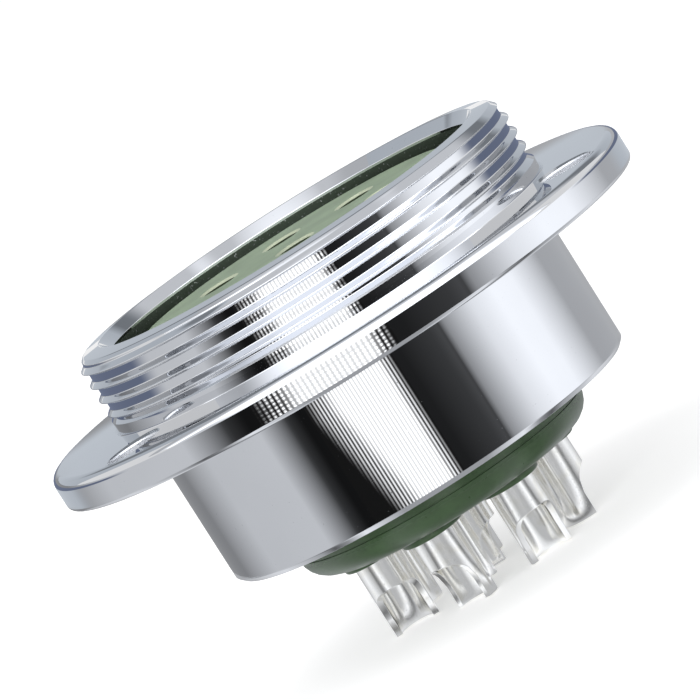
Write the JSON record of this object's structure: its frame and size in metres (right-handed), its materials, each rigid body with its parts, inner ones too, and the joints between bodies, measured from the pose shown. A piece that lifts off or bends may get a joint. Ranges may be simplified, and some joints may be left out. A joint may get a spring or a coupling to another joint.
{
  "type": "circular connector receptacle",
  "caption": "Round flanged panel receptacle with an outside coupling thread, a recessed contact face with pin sockets, and solder cups behind the panel.",
  "frame": {"origin": "centre of the flange's rear face, on the connector's axis, where the panel lies", "axes": "+Z along the connector's axis to the mating side; +Y from the axis to one screw hole"},
  "size_m": [0.04, 0.04, 0.0245],
  "materials": {
    "plated_shell": "polished chrome plate over turned metal",
    "contact_face": "fine matte green moulding",
    "rear_moulding": "dark green moulding with a satin edge",
    "contact_silver": "silver plate over turned brass",
    "ring_steel": "bright spring steel",
    "spring_bronze": "thin spring strip"
  },
  "bodies": {
    "root": {"shell": "plated_shell", "front_insulator": "contact_face", "rear_insulator": "rear_moulding", "retaining_ring": "ring_steel", "contact_1": "contact_silver", "contact_2": "contact_silver", "contact_3": "contact_silver", "contact_4": "contact_silver", "contact_5": "contact_silver", "contact_6": "contact_silver", "contact_7": "contact_silver", "contact_8": "contact_silver", "contact_spring_1": "spring_bronze", "contact_spring_2": "spring_bronze", "contact_spring_3": "spring_bronze", "contact_spring_4": "spring_bronze", "contact_spring_5": "spring_bronze", "contact_spring_6": "spring_bronze", "contact_spring_7": "spring_bronze", "contact_spring_8": "spring_bronze"}
  },
  "joints": []
}
